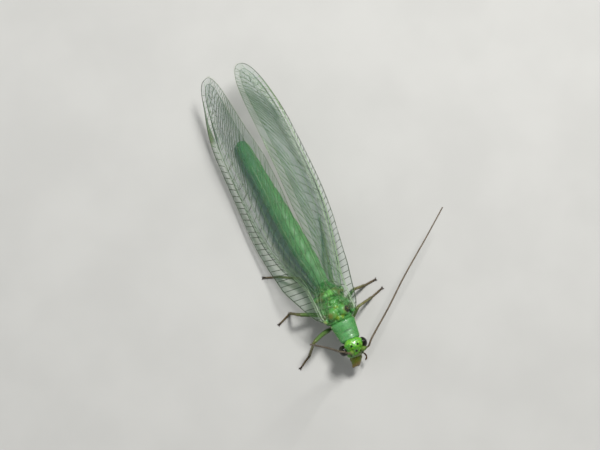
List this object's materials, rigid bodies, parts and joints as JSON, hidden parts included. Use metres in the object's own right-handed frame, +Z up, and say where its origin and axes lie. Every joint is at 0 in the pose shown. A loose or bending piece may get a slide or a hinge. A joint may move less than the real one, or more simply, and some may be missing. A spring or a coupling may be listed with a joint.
{
  "type": "green lacewing",
  "caption": "Still, life-size green lacewing at rest, clear wings folded roof-like over a slender green body, the left feeler swept back and the right raised.",
  "frame": {"origin": "middle of the bounding box of the whole insect, on the floor under it", "axes": "+Z up, +Y from head to wing tips, which is the longest extent, +X towards the insect's left"},
  "size_m": [0.0122, 0.0202, 0.0114],
  "materials": {
    "head_green": "bright yellow-green cuticle, slightly glossy",
    "face_olive": "olive-brown cuticle of the clypeus, slightly glossy",
    "eye_dark": "near-black faceted eye, glossy",
    "palp_brown": "dark brown palps",
    "feeler_brown": "grey-brown ringed feeler",
    "body_green": "grass-green cuticle, slightly glossy",
    "leg_green": "pale green legs",
    "foot_brown": "golden-brown feet with dark tips",
    "wing_film": "clear greenish membrane with a net of green and dark veins"
  },
  "bodies": {
    "root": {"abdomen": "body_green", "abdomen_tip": "body_green", "antenna_left_flagellum": "feeler_brown", "antenna_left_scape": "head_green", "antenna_left_tip": "feeler_brown", "antenna_right_flagellum": "feeler_brown", "antenna_right_scape": "head_green", "antenna_right_tip": "feeler_brown", "clypeus": "face_olive", "eye_left": "eye_dark", "eye_right": "eye_dark", "foreleg_left_coxa": "leg_green", "foreleg_left_femur": "leg_green", "foreleg_left_tarsus": "foot_brown", "foreleg_left_tibia": "leg_green", "foreleg_right_coxa": "leg_green", "foreleg_right_femur": "leg_green", "foreleg_right_tarsus": "foot_brown", "foreleg_right_tibia": "leg_green", "forewing_left": "wing_film", "forewing_right": "wing_film", "head": "head_green", "hindleg_left_coxa": "leg_green", "hindleg_left_femur": "leg_green", "hindleg_left_tarsus": "foot_brown", "hindleg_left_tibia": "leg_green", "hindleg_right_coxa": "leg_green", "hindleg_right_femur": "leg_green", "hindleg_right_tarsus": "foot_brown", "hindleg_right_tibia": "leg_green", "hindwing_left": "wing_film", "hindwing_right": "wing_film", "mesothorax": "body_green", "metathorax": "body_green", "midleg_left_coxa": "leg_green", "midleg_left_femur": "leg_green", "midleg_left_tarsus": "foot_brown", "midleg_left_tibia": "leg_green", "midleg_right_coxa": "leg_green", "midleg_right_femur": "leg_green", "midleg_right_tarsus": "foot_brown", "midleg_right_tibia": "leg_green", "palp_left": "palp_brown", "palp_right": "palp_brown", "prothorax": "body_green"}
  },
  "joints": []
}
